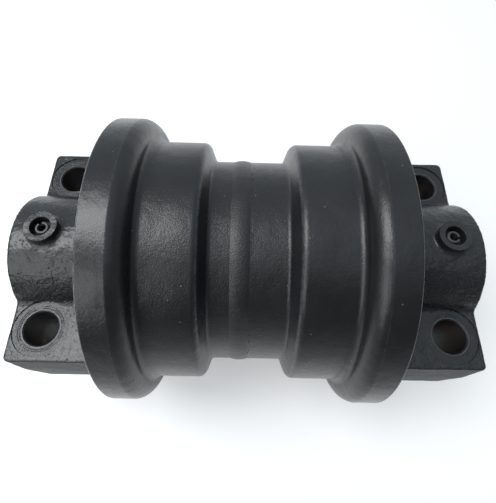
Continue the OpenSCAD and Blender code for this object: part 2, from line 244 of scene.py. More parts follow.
class FinishColours(bpy.types.PropertyGroup):
    """Colours of the paint and of the bare metals"""

    shell: colour("Shell paint", "Satin black over forged and turned steel", (0.0088, 0.0092, 0.0100))
    casting: colour("Casting paint", "Satin black over rough cast steel", (0.0130, 0.0138, 0.0148))
    # Edge-wear colour, also used for painted highlights along the shell's flange and tread edges and round
    # the bolt holes' mouths
    wear_and_highlight: colour("Worn edge", "Thin paint over steel along the edges", (0.19, 0.215, 0.25))
    dust: colour("Dust", "Pale specks lying on the paint", (0.22, 0.22, 0.21))
    rust: colour("Rust", "Light rust inside the bolt holes", (0.085, 0.040, 0.018))
    steel: colour("Ground steel", "Bare steel of the axle", (0.50, 0.50, 0.52))
    bronze: colour("Bronze", "Turned bronze of the bushings", (0.62, 0.42, 0.20))
    iron: colour("Seal iron", "Lapped iron of the face seals", (0.42, 0.43, 0.45))
    rubber: colour("Rubber", "Nitrile rubber of the toric rings and O-rings", (0.020, 0.020, 0.020))
    pin: colour("Pin steel", "Spring steel with black overspray", (0.060, 0.061, 0.064))
    shell_roughness: amount("Shell roughness", "Roughness of the shell's paint", 0.30)
    casting_roughness: amount("Casting roughness", "Roughness of the casting's paint", 0.29)


class StudioSettings(bpy.types.PropertyGroup):
    """Camera, lights and floor"""

    camera: FloatVectorProperty(
        name="Camera", description="Where the camera stands", default=(0.0984, -0.0027, 0.2446), size=3,
        subtype="TRANSLATION", unit="LENGTH")
    elevation: angle("Elevation", "Camera's angle above the horizon", 66.788)
    yaw: angle("Yaw", "Camera's turn to the side", 0.599)
    roll: angle("Roll", "Camera's tilt", 1.256)
    lens: FloatProperty(name="Lens", description="Focal length in millimetres", default=26.2, min=1)
    key_power: watts("Key light", "Power of the overhead light", 13)
    key_width: size("Key light width", "Size of the overhead light across the axle", 0.65)
    key_length: size("Key light length", "Size of the overhead light along the axle", 0.9)
    key_from: toward("Key direction", "Direction of the overhead light", (-0.075, -0.5, 0.86))
    fill_power: watts("Side light", "Power of the low light on the left", 6.5)
    fill_size: size("Side light size", "Side of the low light on the left", 0.9)
    fill_from: toward("Side direction", "Direction of the low light on the left", (0.57, -0.60, 0.57))
    light_away: size("Light distance", "Distance of both lights", 1.4)
    sky: colour("Surroundings", "Colour of the light from all round", (0.85, 0.94, 1.0))
    sky_top: amount("Overhead", "Strength of the light from above", 1.0, 4)
    sky_back: amount("Behind", "Strength of the light from the -X side", 0.70, 4)
    sky_front: amount("In front", "Strength of the light from the +X side", 0.16, 4)
    floor_glow: amount("Floor glow", "Light that the floor gives of its own", 0.24, 4)


class Value:
    """A number that changes over a surface; Python's arithmetic on it adds Math nodes."""

    def __init__(self, finish, socket):
        self.finish = finish
        self.socket = socket

    def maths(self, operation, *numbers):
        return self.finish.value("ShaderNodeMath", {"operation": operation}, dict(enumerate(numbers)))

    def __add__(self, other):
        return self.maths("ADD", self, other)

    def __sub__(self, other):
        return self.maths("SUBTRACT", self, other)

    def __rsub__(self, other):
        return self.maths("SUBTRACT", other, self)

    def __mul__(self, other):
        return self.maths("MULTIPLY", self, other)

    def __pow__(self, other):
        return self.maths("POWER", self, other)

    def __abs__(self):
        return self.maths("ABSOLUTE", self)

    __radd__ = __add__
    __rmul__ = __mul__

    def at_least(self, other):
        return self.maths("MAXIMUM", self, other)

    def wave(self, length):
        """Goes from 0 to 1 and back once in each length."""
        return self.maths("SINE", self * (math.tau / length)) * 0.5 + 0.5

    def rise(self, start, end):
        """Goes smoothly from 0 at start to 1 at end."""
        return self.finish.value(
            "ShaderNodeMapRange", {"interpolation_type": "SMOOTHSTEP"},
            {"Value": self, "From Min": start, "From Max": end, "To Min": 0.0, "To Max": 1.0})

    def near(self, centre, half_width):
        """1 at centre, falling to 0 half_width away."""
        return 1 - abs(self - centre).rise(0.0, half_width)


class Finish:
    """One procedural material, or the world's light, and the nodes that make it."""

    def __init__(self, owner):
        self.owner = owner
        owner.use_nodes = True
        self.tree = owner.node_tree
        self.tree.nodes.clear()

    def node(self, kind, settings=None, sockets=None):
        """Adds a node: its settings first, then the values or links of its sockets."""
        made = self.tree.nodes.new(kind)
        for name, setting in (settings or {}).items():
            setattr(made, name, setting)
        for name, given in (sockets or {}).items():
            if isinstance(given, Value):
                given = given.socket
            if isinstance(given, bpy.types.NodeSocket):
                self.tree.links.new(given, made.inputs[name])
            else:
                made.inputs[name].default_value = given
        return made

    def value(self, kind, settings=None, sockets=None):
        """The number that such a node gives."""
        return Value(self, self.node(kind, settings, sockets).outputs[0])

    def axes(self, source="Object"):
        """Coordinates as a vector and as three numbers."""
        vector = self.node("ShaderNodeTexCoord").outputs[source]
        parts = self.node("ShaderNodeSeparateXYZ", sockets={"Vector": vector})
        return (vector, *(Value(self, output) for output in parts.outputs))

    def cloud(self, vector, scale, detail=2.0, roughness=0.5):
        """Smooth noise from 0 to 1, scale being its cells in a metre."""
        sockets = {"Vector": vector, "Scale": scale, "Detail": detail, "Roughness": roughness}
        return self.value("ShaderNodeTexNoise", sockets=sockets)

    def pits(self, vector, scale):
        """Distance to the nearest of scattered points."""
        return self.value("ShaderNodeTexVoronoi", {"feature": "F1"}, {"Vector": vector, "Scale": scale})

    def vector(self, x, y, z):
        """A vector out of three numbers."""
        return self.node("ShaderNodeCombineXYZ", sockets={"X": x, "Y": y, "Z": z}).outputs[0]

    def tint(self, mask, first, second):
        """The first colour where the mask is 0 and the second where it is 1."""
        colours = [(*c, 1.0) if not isinstance(c, bpy.types.NodeSocket) else c for c in (first, second)]
        mixed = self.node("ShaderNodeMix", {"data_type": "RGBA"}, {0: mask, 6: colours[0], 7: colours[1]})
        return mixed.outputs[2]

    def shades(self, mask, tone, low, high):
        """A colour scaled by low where the mask is 0 and by high where it is 1."""
        return self.tint(mask, scaled(tone, low), scaled(tone, high))

    def relief(self, *layers):
        """Layers of relief over each other, each a height from 0 to 1 and its depth in millimetres."""
        normal = None
        for height, depth in layers:
            sockets = {"Height": height, "Strength": 1.0, "Distance": depth * MM}
            if normal is not None:
                sockets["Normal"] = normal
            normal = self.node("ShaderNodeBump", sockets=sockets).outputs[0]
        return normal

    def surface(self, **sockets):
        """The shader itself, with its sockets named by words joined with underscores."""
        named = {name.replace("_", " "): given for name, given in sockets.items()}
        shader = self.node("ShaderNodeBsdfPrincipled", sockets=named)
        self.node("ShaderNodeOutputMaterial", sockets={"Surface": shader.outputs[0]})
        return self.owner


def scaled(tone, factor):
    """A colour made lighter or darker."""
    return tuple(min(1.0, channel * factor) for channel in tone)


def distance(first, second):
    """Distance over two steps at a right angle."""
    return (first * first + second * second) ** 0.5


def bolt_distance(x, y, sizes):
    """Distance from the centre line of the nearest bolt hole."""
    return distance(abs(x) - sizes.bolt_across, abs(y) - sizes.bolt_along)


def pin_distance(x, y):
    """Distance from the centre line of the nearest lock pin."""
    return distance(x, abs(y) - bpy.context.scene.pin_sizes.along)


def shell_paint(finish, colours, sizes):
    """Satin black paint on forged, turned steel: orange peel, faint turning lines, and edges painted lighter
    as wear and as painted highlights, most on the left flange's outer edge.
    """
    vector, x, y, z = finish.axes()
    radius = distance(x, z)
    along = abs(y)
    turned = finish.vector(radius, y, 0.0)

    peel = finish.cloud(vector, 840, 2.0, 0.6)
    waves = finish.cloud(vector, 75, 2.0, 0.5)
    grain = finish.cloud(vector, 1700, 2.0, 0.6)
    lines = finish.cloud(turned, 900, 1.0, 0.5)
    patches = finish.cloud(vector, 38, 3.0, 0.6)

    # Orange peel stays weak on the machined rims and is strongest on the forged waist
    rim = radius.rise(sizes.flange_radius - 1.5 * MM, sizes.flange_radius - 0.3 * MM)
    waist = 1 - radius.rise(sizes.waist_radius + 1 * MM, sizes.waist_radius + 6 * MM)
    rough_paint = 1 - rim * 0.45 + waist * 0.35
    relief = finish.relief(
        (waves, 0.5), (peel * rough_paint, 0.12), (lines, 0.02), (grain * rough_paint, 0.09))

    broken = finish.cloud(vector, 260, 3.0, 0.65).rise(0.38, 0.66)
    rim_y = sizes.flange_face - sizes.rim_width
    outer_edge = (
        along.rise(sizes.flange_face - 1.1 * MM, sizes.flange_face - 0.3 * MM)
        * radius.rise(sizes.flange_radius - 1.4 * MM, sizes.flange_radius - 0.5 * MM))
    inner_edge = along.near(rim_y, 0.7 * MM) * radius.rise(
        sizes.flange_radius - 0.9 * MM, sizes.flange_radius - 0.2 * MM)
    tread_edge = along.near(sizes.tread_inner + 1.3 * MM, 1.5 * MM) * radius.near(
        sizes.tread_radius - 1.3 * MM, 1.4 * MM)
    # Painted highlight: the left flange's outer edge is painted lighter than the right's because the light
    # falls from the left; all these edge lines are partly wear and partly painted highlight
    left = 1 - y.rise(-10 * MM, 10 * MM)
    wear_and_highlight = (outer_edge * (0.22 + left * 0.5)).at_least(inner_edge * 0.07).at_least(tread_edge * 0.16)
    wear_and_highlight = wear_and_highlight * (broken * 0.75 + 0.25)

    specks = grain.rise(0.60, 0.72) * (0.25 + waist * 0.45)
    base = finish.shades(patches.rise(0.3, 0.7), colours.shell, 0.82, 1.22)
    base = finish.tint(specks, base, scaled(colours.shell, 3.2))
    base = finish.tint(wear_and_highlight, base, tuple(colours.wear_and_highlight))
    dust = 1 - finish.pits(vector, 140).rise(0.035, 0.060)
    base = finish.tint(dust * 0.55, base, tuple(colours.dust))
    rough = colours.shell_roughness + (patches - 0.5) * 0.10 + (peel - 0.5) * 0.08
    rough = rough - rim * 0.03 - wear_and_highlight * 0.06
    return finish.surface(Base_Color=base, Roughness=rough, Normal=relief, IOR=PAINT_IOR)


def bead_paint(finish, colours, sizes):
    """The shell's paint over weld metal: coarser, with a speckled crust in patches."""
    vector, _, y, _ = finish.axes()
    peel = finish.cloud(vector, 780, 3.0, 0.65)
    crust = finish.cloud(vector, 1300, 3.0, 0.7)
    patches = finish.cloud(vector, 70, 2.0, 0.5).rise(0.42, 0.66)
    right_toe = (y - sizes.seam).near(sizes.bead_width / 2 - 0.9 * MM, 1.5 * MM) * crust.rise(0.42, 0.60)
    relief = finish.relief((peel, 0.28), (crust * (patches * 0.8 + 0.3), 0.12))
    specks = crust.rise(0.56, 0.70) * (patches * 0.8 + 0.1)
    base = finish.shades(specks, colours.shell, 1.05, 5.0)
    base = finish.tint(right_toe * 0.7, base, scaled(colours.shell, 0.35))
    rough = colours.shell_roughness + 0.06 + (peel - 0.5) * 0.12 + patches * 0.06
    return finish.surface(Base_Color=base, Roughness=rough, Normal=relief, IOR=PAINT_IOR)


def casting_paint(finish, colours, sizes):
    """Satin black paint on rough cast steel: sand grain, scattered pits and rubbed high spots."""
    vector, x, y, z = finish.axes()
    sand = finish.cloud(vector, 640, 1.6, 0.5)
    fine = finish.cloud(vector, 1500, 2.0, 0.65)
    lumps = finish.cloud(vector, 120, 2.0, 0.5)
    patches = finish.cloud(vector, 45, 3.0, 0.6)
    thick = finish.cloud(vector, 90, 2.0, 0.5).rise(0.46, 0.62)
    pitted = (1 - finish.pits(vector, 330).rise(0.08, 0.30)) * thick
    # The skin is smoothest over the boss and on the faced end of the lock pin's boss
    bare = 1 - pin_distance(x, y).rise(sizes.pin_boss_radius - 0.5 * MM, sizes.pin_boss_radius + 1.5 * MM)
    over = z.rise(30 * MM, 40 * MM)
    coarse = (0.35 + patches.rise(0.35, 0.6) * 0.65) * (1 - over * 0.55) * (1 - bare * 0.8)
    relief = finish.relief((lumps, 1.0), (sand * coarse, 0.44), (1 - pitted, 0.22), (fine, 0.05))
    base = finish.shades(patches.rise(0.3, 0.7), colours.casting, 0.80, 1.25)
    base = finish.tint(fine.rise(0.50, 0.68) * 0.8, base, scaled(colours.casting, 3.4))
    base = finish.tint(sand.rise(0.55, 0.42) * coarse * 0.6, base, scaled(colours.casting, 0.4))
    base = finish.tint(pitted * 0.7, base, scaled(colours.casting, 0.35))
    steep = abs(x).rise(sizes.ear_half_top - 1 * MM, sizes.ear_half_top + 0.4 * MM)
    rough = colours.casting_roughness + (sand - 0.5) * 0.16 + (patches - 0.5) * 0.10 + steep * 0.30
    return finish.surface(Base_Color=base, Roughness=rough, Normal=relief, IOR=PAINT_IOR)


def seat_paint(finish, colours, sizes):
    """Thin paint on the machined bolt seats, with the cutter's rings under it, a painted highlight round each
    hole's mouth, and painted shade along the seat's edge and in two fine grooves.
    """
    vector, x, y, _ = finish.axes()
    away = bolt_distance(x, y, sizes)
    drift = finish.cloud(vector, 140, 2.0, 0.5)
    rings = (away + drift * (0.25 * MM)).wave(0.75 * MM)
    peel = finish.cloud(vector, 900, 2.0, 0.55)
    # Two fine grooves round each hole, sunk in the relief and also darkened below as painted shade
    groove = away.near(sizes.bolt_radius + 2.3 * MM, 0.45 * MM).at_least(
        away.near(sizes.bolt_radius + 3.5 * MM, 0.35 * MM) * 0.7) * drift.rise(0.30, 0.55)
    relief = finish.relief((rings, 0.012), (1 - groove, 0.14), (peel, 0.30))
    rim = away.near(sizes.seat_radius, 0.8 * MM)
    # Painted highlight: a lighter ring round each bolt hole's chamfer, in the edge-wear colour
    mouth = away.near(sizes.bolt_radius + 0.6 * MM, 0.9 * MM)
    base = finish.shades(rings * 0.3, colours.casting, 1.0, 1.3)
    base = finish.tint(peel.rise(0.58, 0.76) * 0.5, base, scaled(colours.casting, 3.0))
    # Painted shade: darker along the seat's step edge and in the two grooves
    base = finish.tint((rim * 0.6).at_least(groove * 0.55), base, scaled(colours.casting, 0.4))
    base = finish.tint(mouth * (drift.rise(0.35, 0.65) * 0.5 + 0.3), base, tuple(colours.wear_and_highlight))
    rough = colours.casting_roughness - 0.02 + (peel - 0.5) * 0.10 + rings * 0.03
    return finish.surface(Base_Color=base, Roughness=rough, Normal=relief, IOR=PAINT_IOR)


def bore_paint(finish, colours, sizes):
    """Overspray that thins out down the holes, with light rust where it ends."""
    vector, x, y, z = finish.axes()
    away = bolt_distance(x, y, sizes)
    in_hole = 1 - away.rise(sizes.bolt_radius + 0.5 * MM, sizes.bolt_radius + 2 * MM)
    drill = finish.cloud(finish.vector(away, z, 0.0), 1100, 1.0, 0.5)
    stain = finish.cloud(vector, 110, 3.0, 0.65)
    relief = finish.relief((drill, 0.03), (finish.cloud(vector, 1000, 2.0, 0.6), 0.05))
    depth = 1 - z.rise(sizes.ear_top - 22 * MM, sizes.ear_top - 3 * MM)
    rusty = in_hole * stain.rise(0.42, 0.66) * (depth * 0.55 + 0.15)
    base = finish.shades(stain.rise(0.35, 0.7), colours.casting, 0.7, 1.2)
    base = finish.tint(rusty, base, tuple(colours.rust))
    rough = 0.50 + rusty * 0.25 + (stain - 0.5) * 0.12
    return finish.surface(Base_Color=base, Roughness=rough, Normal=relief, IOR=PAINT_IOR)


def faced_paint(finish, colours, sizes):
    """Paint over the milled mounting face, with the mill's arcs under it."""
    vector, x, y, _ = finish.axes()
    drift = finish.cloud(vector, 90, 2.0, 0.5)
    arcs = (x + y * 0.25 + drift * (0.6 * MM)).wave(1.4 * MM)
    relief = finish.relief((arcs, 0.018), (finish.cloud(vector, 800, 2.0, 0.55), 0.04))
    base = finish.shades(arcs * 0.35, colours.casting, 0.9, 1.7)
    rough = colours.casting_roughness - 0.04 + arcs * 0.05 + (drift - 0.5) * 0.10
    return finish.surface(Base_Color=base, Roughness=rough, Normal=relief, IOR=PAINT_IOR)


def pin_steel(finish, colours, sizes):
    """Dark spring steel, dusted with black paint, its end painted lighter towards the outer edge, partly as
    rubbed steel and partly as a painted highlight.
    """
    vector, x, y, z = finish.axes()
    dust = finish.cloud(vector, 1400, 3.0, 0.6)
    streaks = finish.cloud(finish.vector(x, y, z * 0.08), 1600, 2.0, 0.5)
    end = z.rise(PIN_HIGH.z - 0.6 * MM, PIN_HIGH.z - 0.05 * MM)
    relief = finish.relief((streaks, 0.02), (dust, 0.03))
    edge = pin_distance(x, y).rise(sizes.radius - 0.75 * MM, sizes.radius - 0.35 * MM)
    # Painted highlight: the end is lighter and more metallic towards its outer edge, partly rubbed steel and
    # partly a painted highlight
    bright = end * (0.10 + edge * (0.25 + dust * 0.6))
    base = finish.shades(dust.rise(0.35, 0.7), colours.pin, 0.6, 1.3)
    base = finish.tint(bright, base, scaled(colours.pin, 3.6))
    rough = 0.36 + dust * 0.16
    metal = 0.35 + bright * 0.5
    return finish.surface(Base_Color=base, Roughness=rough, Metallic=metal, Normal=relief, IOR=PAINT_IOR)


def ground_steel(finish, colours, sizes):
    """Ground and lightly oiled steel; its end faces are turned and sprayed black with the collars."""
    vector, x, y, z = finish.axes()
    radius = distance(x, z)
    lines = finish.cloud(finish.vector(radius, y, 0.0), 2200, 2.0, 0.6)
    oil = finish.cloud(vector, 55, 3.0, 0.6)
    end = abs(y).rise(AXLE_END, AXLE_END + 0.6 * MM)
    rings = radius.wave(0.9 * MM) * end
    peel = finish.cloud(vector, 800, 2.0, 0.6)
    relief = finish.relief((lines, 0.010), (rings, 0.030), (peel * end, 0.20))
    base = finish.shades(oil.rise(0.35, 0.7), colours.steel, 0.72, 1.0)
    paint = finish.shades(peel.rise(0.56, 0.72) * 0.6, colours.casting, 1.0, 2.6)
    base = finish.tint(end, base, paint)
    rough = 0.26 + lines * 0.14 + oil * 0.10 + end * 0.04
    return finish.surface(Base_Color=base, Roughness=rough, Metallic=0.95 - end * 0.95, Normal=relief)


def turned_metal(finish, tone, roughness):
    """Bare metal with the lathe's lines round the axle and a thin film of oil."""
    vector, x, y, z = finish.axes()
    radius = distance(x, z)
    lines = finish.cloud(finish.vector(radius, y, 0.0), 1700, 2.0, 0.6)
    film = finish.cloud(vector, 80, 3.0, 0.6)
    relief = finish.relief((lines, 0.012), (finish.cloud(vector, 900, 2.0, 0.5), 0.015))
    base = finish.shades(film.rise(0.3, 0.7), tone, 0.78, 1.08)
    rough = roughness + lines * 0.12 + film * 0.10
    return finish.surface(Base_Color=base, Roughness=rough, Metallic=1.0, Normal=relief)


def bronze(finish, colours, sizes):
    """Turned bronze of the bushings."""
    return turned_metal(finish, colours.bronze, 0.28)


def seal_iron(finish, colours, sizes):
    """Lapped iron of the face seals."""
    return turned_metal(finish, colours.iron, 0.18)


def rubber(finish, colours, sizes):
    """Moulded nitrile rubber, faintly dusty."""
    vector, *_ = finish.axes()
    skin = finish.cloud(vector, 1500, 2.0, 0.6)
    dust = finish.cloud(vector, 130, 3.0, 0.6)
    relief = finish.relief((skin, 0.02))
    base = finish.shades(dust.rise(0.45, 0.75) * 0.6, colours.rubber, 1.0, 2.4)
    return finish.surface(Base_Color=base, Roughness=0.5 + dust * 0.2, Normal=relief, IOR=RUBBER_IOR)


FINISHES = {
    "shell_paint": (shell_paint, "shell_sizes"),
    "bead_paint": (bead_paint, "shell_sizes"),
    "casting_paint": (casting_paint, "collar_sizes"),
    "seat_paint": (seat_paint, "collar_sizes"),
    "bore_paint": (bore_paint, "collar_sizes"),
    "faced_paint": (faced_paint, "collar_sizes"),
    "pin_steel": (pin_steel, "pin_sizes"),
    "ground_steel": (ground_steel, "pin_sizes"),
    "bronze": (bronze, "pin_sizes"),
    "seal_iron": (seal_iron, "pin_sizes"),
    "rubber": (rubber, "pin_sizes"),
}


def material(name):
    """A finish by its name, made the first time it is asked for."""
    title = "finish." + name
    if title in PLAIN_FINISHES:
        raise RuntimeError("the frame already has a material called " + title)
    if title not in bpy.data.materials:
        make, group = FINISHES[name]
        scene = bpy.context.scene
        make(Finish(bpy.data.materials.new(title)), scene.finish_colours, getattr(scene, group))
    return bpy.data.materials[title]


def arc(centre, radius, start, end, count):
    """Points of an arc in a half section, its angles in radians from the outward direction."""
    turns = [start + (end - start) * step / count for step in range(count + 1)]
    return [(centre[0] + radius * math.cos(turn), centre[1] + radius * math.sin(turn)) for turn in turns]


def turned(bm, outline, steps, closed=True, flip=1, material_index=0):
    """Spins a half section of (radius, along the axle) points about the axle; flip -1 is the left side."""
    verts = [bm.verts.new((radius, flip * along, 0)) for radius, along in outline]
    edges = [bm.edges.new(pair) for pair in zip(verts, verts[1:])]
    if closed:
        edges.append(bm.edges.new((verts[-1], verts[0])))
    before = set(bm.faces)
    bmesh.ops.spin(
        bm, geom=verts + edges, cent=(0, 0, 0), axis=(0, 1, 0), dvec=(0, 0, 0), angle=math.tau, steps=steps,
        use_merge=True, use_duplicate=False)
    made = [face for face in bm.faces if face not in before]
    for face in made:
        face.material_index = material_index
    return made


def upright(bm, outline, centre, steps, material_index=0):
    """Spins a half section of (radius, height) points about an upright line."""
    made = turned(bm, outline, steps, closed=False, material_index=material_index)
    verts = list({vert for face in made for vert in face.verts})
    bmesh.ops.rotate(bm, verts=verts, cent=(0, 0, 0), matrix=Matrix.Rotation(math.pi / 2, 3, "X"))
    bmesh.ops.translate(bm, verts=verts, vec=(centre[0], centre[1], 0))


def close_up(bm):
    """Merges doubled points at poles and seams and turns every face outward."""
    bmesh.ops.remove_doubles(bm, verts=bm.verts, dist=1e-7)
    bmesh.ops.recalc_face_normals(bm, faces=bm.faces)


def add_object(bm, name, materials):
    """Puts the finished bmesh in the scene, in its own object at the origin."""
    mesh = bpy.data.meshes.new(name)
    bm.to_mesh(mesh)
    bm.free()
    for finish in materials:
        mesh.materials.append(finish)
    made = bpy.data.objects.new(name, mesh)
    bpy.context.scene.collection.objects.link(made)
    return made


def shade(piece, sharp, cast_sharp=None):
    """Smooth shading, broken at edges sharper than the given angle and where two finishes meet."""
    bm = bmesh.new()
    bm.from_mesh(piece.data)
    for face in bm.faces:
        face.smooth = True
    for edge in bm.edges:
        if len(edge.link_faces) != 2:
            continue
        first, second = (face.material_index for face in edge.link_faces)
        limit = cast_sharp if cast_sharp and first == second == CAST else sharp
        edge.smooth = first == second and edge.calc_face_angle(0) < limit
    bm.to_mesh(piece.data)
    bm.free()


def settle(piece):
    """Makes the piece's modifiers part of its mesh."""
    graph = bpy.context.evaluated_depsgraph_get()
    mesh = bpy.data.meshes.new_from_object(piece.evaluated_get(graph))
    old = piece.data
    piece.modifiers.clear()
    piece.data = mesh
    bpy.data.meshes.remove(old)


def cut_out(piece, bm):
    """Cuts the shape in the bmesh out of the piece, leaving the cutter's finish on the new faces."""
    close_up(bm)
    cutter = add_object(bm, piece.name + ".cutter", list(piece.data.materials))
    cut = piece.modifiers.new("cut", "BOOLEAN")
    cut.operation = "DIFFERENCE"
    cut.solver = "MANIFOLD"
    cut.object = cutter
    faces = len(piece.data.polygons)
    settle(piece)
    bpy.data.objects.remove(cutter)
    if not 0 < len(piece.data.polygons) or len(piece.data.polygons) == faces:
        raise RuntimeError("a cut changed nothing on " + piece.name)


def attach(piece, body, node):
    """Rides the piece on its body in place of its packed node."""
    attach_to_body(piece, body)
    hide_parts(node)


def shell_outline(sizes, start):
    """Closed half section of one shell half, drawn for the right side and starting at the seam."""
    edge = sizes.tread_edge
    lean = math.atan2(sizes.waist_lean, sizes.tread_radius - edge - sizes.waist_radius)
    waist_end = sizes.tread_inner - sizes.waist_lean
    foot_y = waist_end - sizes.waist_foot * math.tan(math.pi / 4 - lean / 2)
    shoulder_y = sizes.flange_wall + sizes.shoulder_radius
    rim_y = sizes.flange_face - sizes.rim_width
    drop = math.asin((rim_y - shoulder_y) / sizes.shoulder_radius)
    shoulder_r = sizes.flange_radius - sizes.shoulder_radius * math.cos(drop)
    chamfer = 1 * MM
    support = 0.35 * MM
    outline = [(sizes.waist_radius, start), (sizes.waist_radius, (start + foot_y) / 2)]
    outline += arc(
        (sizes.waist_radius + sizes.waist_foot, foot_y), sizes.waist_foot, math.pi, math.pi / 2 + lean, 6)
    outline += arc((sizes.tread_radius - edge, sizes.tread_inner + edge), edge, lean - math.pi / 2, 0, 8)
    outline += [(sizes.tread_radius, (sizes.tread_inner + sizes.flange_wall) / 2)]
    outline += arc(
        (sizes.tread_radius + sizes.flange_foot, sizes.flange_wall - sizes.flange_foot), sizes.flange_foot,
        math.pi, math.pi / 2, 8)
    outline += arc((shoulder_r, shoulder_y), sizes.shoulder_radius, -math.pi / 2, drop, 16)
    outline += [
        (sizes.flange_radius, rim_y + support), (sizes.flange_radius, sizes.flange_face - chamfer - support)]
    outline += arc((sizes.flange_radius - chamfer, sizes.flange_face - chamfer), chamfer, 0, math.pi / 2, 4)
    outline += [
        (sizes.flange_radius - chamfer - support, sizes.flange_face),
        (sizes.seal_bore + 0.6 * MM, sizes.flange_face),
        (sizes.seal_bore, sizes.flange_face - 0.6 * MM),
        (sizes.seal_bore, sizes.seal_shelf),
        (sizes.oil_radius, sizes.seal_shelf),
        (sizes.oil_radius, sizes.bushing_land),
        (sizes.bushing_bore, sizes.bushing_land),
        (sizes.bushing_bore, sizes.oil_half),
        (sizes.oil_radius, sizes.oil_half),
        (sizes.oil_radius, start),
    ]
    return outline


class TRACK_ROLLER_OT_shell_halves(bpy.types.Operator):
    """Turns the two shell halves with their flanges, treads and waist"""

    bl_idname = "track_roller.shell_halves"
    bl_label = "Shell halves"

    def execute(self, context):
        sizes = context.scene.shell_sizes
        for side in (LEFT, RIGHT):
            bm = bmesh.new()
            turned(bm, shell_outline(sizes, side * sizes.seam), sizes.steps, flip=side)
            close_up(bm)
            piece = add_object(bm, "shell_half_" + SIDE_NAMES[side], [material("shell_paint")])
            shade(piece, SHARP_TURNED)
            attach(piece, "roller", "roller_shell_" + SIDE_NAMES[side])
        return {"FINISHED"}


class TRACK_ROLLER_OT_weld(bpy.types.Operator):
    """Lays the rippled weld bead round the waist, with the spatter beside it"""

    bl_idname = "track_roller.weld"
    bl_label = "Weld bead"

    def execute(self, context):
        sizes = context.scene.shell_sizes
        chance = random.Random(7)
        ripples = 90
        drops = 96
        drop_turns = (110, 72, 64, 20, -40, -150)
        half = sizes.bead_width / 2
        height = sizes.bead_top - sizes.waist_radius
        crown = (half * half + height * height) / (2 * height)
        spread = math.asin(half / crown)
        outline = arc((sizes.bead_top - crown, sizes.seam), crown, -spread, spread, 14)
        buried = sizes.waist_radius - 0.3 * MM
        outline += [(buried, sizes.seam + half), (buried, sizes.seam - half)]
        bm = bmesh.new()
        turned(bm, outline, BEAD_STEPS)
        close_up(bm)
        for vert in bm.verts:
            radius = math.hypot(vert.co.x, vert.co.z)
            lift = (radius - sizes.waist_radius) / height
            if lift <= 0.05:
                continue
            turn = math.atan2(vert.co.z, vert.co.x)
            across = (vert.co.y - sizes.seam) / half
            ripple = math.sin(ripples * turn + 2.6 * across * across + 1.5 * noise.noise(vert.co * 60))
            dip = (ripple - 1) * 0.018 * MM + (noise.noise(vert.co * 130) - 0.6) * 0.10 * MM
            factor = 1 + lift * dip / radius
            vert.co.x *= factor
            vert.co.z *= factor
        for _ in range(drops):
            turn = math.radians(chance.choice(drop_turns)) + chance.gauss(0, 0.20)
            along = sizes.seam + half + abs(chance.gauss(0, 0.9 * MM)) + 0.2 * MM
            drop = chance.uniform(0.20, 0.44) * MM
            centre = Vector((math.cos(turn), 0, math.sin(turn))) * (sizes.waist_radius + drop * 0.1)
            centre.y = along
            bmesh.ops.create_icosphere(bm, subdivisions=1, radius=drop, matrix=Matrix.Translation(centre))
        piece = add_object(bm, "weld_band", [material("bead_paint")])
        shade(piece, SHARP_BEAD)
        attach(piece, "roller", "weld_bead")
        return {"FINISHED"}


def ear_section(sizes):
    """Cross-section of a collar as (across, up) points, running from foot to foot over the boss."""
    fillet = sizes.boss_fillet
    fillet_z = sizes.ear_top + fillet
    fillet_x = math.sqrt((sizes.boss_radius + fillet) ** 2 - fillet_z ** 2)
    rise = math.atan2(fillet_z, fillet_x)
    below = sizes.mount_face - 2 * MM
    right = [
        (sizes.ear_half_foot, below), (sizes.ear_half_foot, sizes.draft_foot),
        (sizes.ear_half_top, sizes.ear_top)]
    right += arc((fillet_x, fillet_z), fillet, 1.5 * math.pi, math.pi + rise, 6)
    over = arc((0, 0), sizes.boss_radius, rise, math.pi - rise, 44)[1:-1]
    return right + over + [(-across, up) for across, up in reversed(right)]


def ears_blank(bm, sizes, side):
    """Boss and ears as one bar with rounded outer corners."""
    verts = [bm.verts.new((across, side * sizes.ear_start, up)) for across, up in ear_section(sizes)]
    face = bm.faces.new(verts)
    grown = bmesh.ops.extrude_face_region(bm, geom=[face])["geom"]
    far = [vert for vert in grown if isinstance(vert, bmesh.types.BMVert)]
    bmesh.ops.translate(bm, verts=far, vec=(0, side * (sizes.end - sizes.ear_start), 0))
    corners = [
        edge for edge in {edge for vert in far for edge in vert.link_edges}
        if all(abs(vert.co.x) > sizes.ear_half_top - MM and vert in far for vert in edge.verts)]
    bmesh.ops.bevel(
        bm, geom=corners, offset=sizes.corner, offset_type="OFFSET", segments=5, profile=0.5, affect="EDGES",
        material=-1, clamp_overlap=True)


def hub_outline(sizes):
    """Half section of the hub and nose, from the axis out and back to the axis."""
    slope = math.atan2(sizes.hub_radius - sizes.boss_radius, sizes.cone_end - sizes.hub_end)
    rounding = 2.2 * MM
    outline = [(0, sizes.nose), (sizes.nose_radius, sizes.nose), (sizes.nose_radius, sizes.hub_start)]
    outline += arc((sizes.hub_radius - MM, sizes.hub_start + MM), MM, -math.pi / 2, 0, 4)
    outline += arc(
        (sizes.hub_radius - rounding, sizes.hub_end - rounding * math.tan(slope / 2)), rounding,
        0, slope, 5)
    outline += [(sizes.boss_radius, sizes.cone_end), (0, sizes.cone_end)]
    return outline


def roughen(bm, side):
    """Gives a casting the slight unevenness of a sand mould."""
    bm.normal_update()
    shift = Vector((0, 3.1 * side, 1.7))
    shrink = 0.12 * MM
    for vert in bm.verts:
        swell = noise.noise(vert.co * 95 + shift) * 0.13 * MM + noise.noise(vert.co * 260 - shift) * 0.07 * MM
        lumpy = min(1, max(0, 0.4 + 2 * noise.noise(vert.co * 35 + shift)))
        swell += noise.noise(vert.co * 430 + shift) * lumpy * 0.16 * MM
        vert.co += vert.normal * (swell - shrink)


